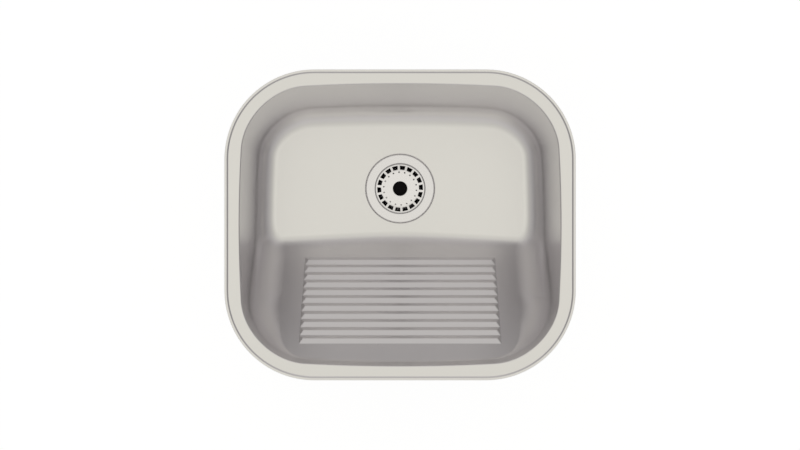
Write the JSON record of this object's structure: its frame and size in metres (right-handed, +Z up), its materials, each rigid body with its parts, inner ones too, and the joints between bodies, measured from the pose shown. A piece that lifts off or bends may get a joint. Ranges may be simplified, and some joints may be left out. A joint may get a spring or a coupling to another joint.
{
  "type": "laundry sink",
  "caption": "Drop-in steel laundry sink with a ribbed washboard slope, basket strainer, pull-up plug and worktop clips.",
  "frame": {"origin": "centre of the rim in the worktop plane, which is the underside of the outer lip", "axes": "+Z up out of the worktop, +Y towards the deep half and the drain at the back, +X to the right"},
  "size_m": [0.52, 0.46, 0.2878],
  "materials": {
    "sheet": "satin",
    "polished_sheet": "polished",
    "galvanised": "galvanised",
    "zinc": "zinc plated",
    "black_plastic": "satin",
    "rubber": "matte",
    "foam": "closed-cell foam",
    "damping": "bitumen pad",
    "fibre": "pressed fibre"
  },
  "bodies": {
    "sink": {"bowl": "sheet", "rim_seal": "foam", "floor_pads": "damping", "slope_pad": "damping", "clip_brackets": "galvanised", "clip_nuts": "zinc", "strainer_body": "polished_sheet", "flange_gasket": "rubber", "lower_gasket": "rubber", "friction_washer": "fibre", "lock_nut": "zinc"},
    "basket": {"basket": "polished_sheet", "guide_bush": "black_plastic"},
    "plug": {"plug_stem": "polished_sheet", "knob": "black_plastic", "plug_washer": "polished_sheet", "plug_seal": "rubber", "plug_nut": "zinc"},
    "screw_1": {"clip_screw_1": "zinc", "clip_ring_1": "zinc"},
    "claw_1": {"clip_claw_1": "galvanised"},
    "screw_2": {"clip_screw_2": "zinc", "clip_ring_2": "zinc"},
    "claw_2": {"clip_claw_2": "galvanised"},
    "screw_3": {"clip_screw_3": "zinc", "clip_ring_3": "zinc"},
    "claw_3": {"clip_claw_3": "galvanised"},
    "screw_4": {"clip_screw_4": "zinc", "clip_ring_4": "zinc"},
    "claw_4": {"clip_claw_4": "galvanised"}
  },
  "joints": [
    {"name": "basket_lift", "type": "slide", "parent": "sink", "child": "basket", "axis": [0, 0, 1], "range_m": [0, 0.265]},
    {"name": "plug_pull", "type": "slide", "parent": "basket", "child": "plug", "axis": [0, 0, 1], "range_m": [0, 0.008]},
    {"name": "screw_climb_1", "type": "slide", "parent": "sink", "child": "screw_1", "axis": [0, 0, 1], "range_m": [0, 0.01]},
    {"name": "claw_swing_1", "type": "hinge", "parent": "screw_1", "child": "claw_1", "pos_m": [0.1, 0.21386, -0.0435], "axis": [0, 0, 1], "range_deg": [-90, 0]},
    {"name": "screw_climb_2", "type": "slide", "parent": "sink", "child": "screw_2", "axis": [0, 0, 1], "range_m": [0, 0.01]},
    {"name": "claw_swing_2", "type": "hinge", "parent": "screw_2", "child": "claw_2", "pos_m": [-0.1, 0.21386, -0.0435], "axis": [0, 0, 1], "range_deg": [-90, 0]},
    {"name": "screw_climb_3", "type": "slide", "parent": "sink", "child": "screw_3", "axis": [0, 0, 1], "range_m": [0, 0.01]},
    {"name": "claw_swing_3", "type": "hinge", "parent": "screw_3", "child": "claw_3", "pos_m": [0.1, -0.21386, -0.0435], "axis": [0, 0, 1], "range_deg": [-90, 0]},
    {"name": "screw_climb_4", "type": "slide", "parent": "sink", "child": "screw_4", "axis": [0, 0, 1], "range_m": [0, 0.01]},
    {"name": "claw_swing_4", "type": "hinge", "parent": "screw_4", "child": "claw_4", "pos_m": [-0.1, -0.21386, -0.0435], "axis": [0, 0, 1], "range_deg": [-90, 0]}
  ]
}
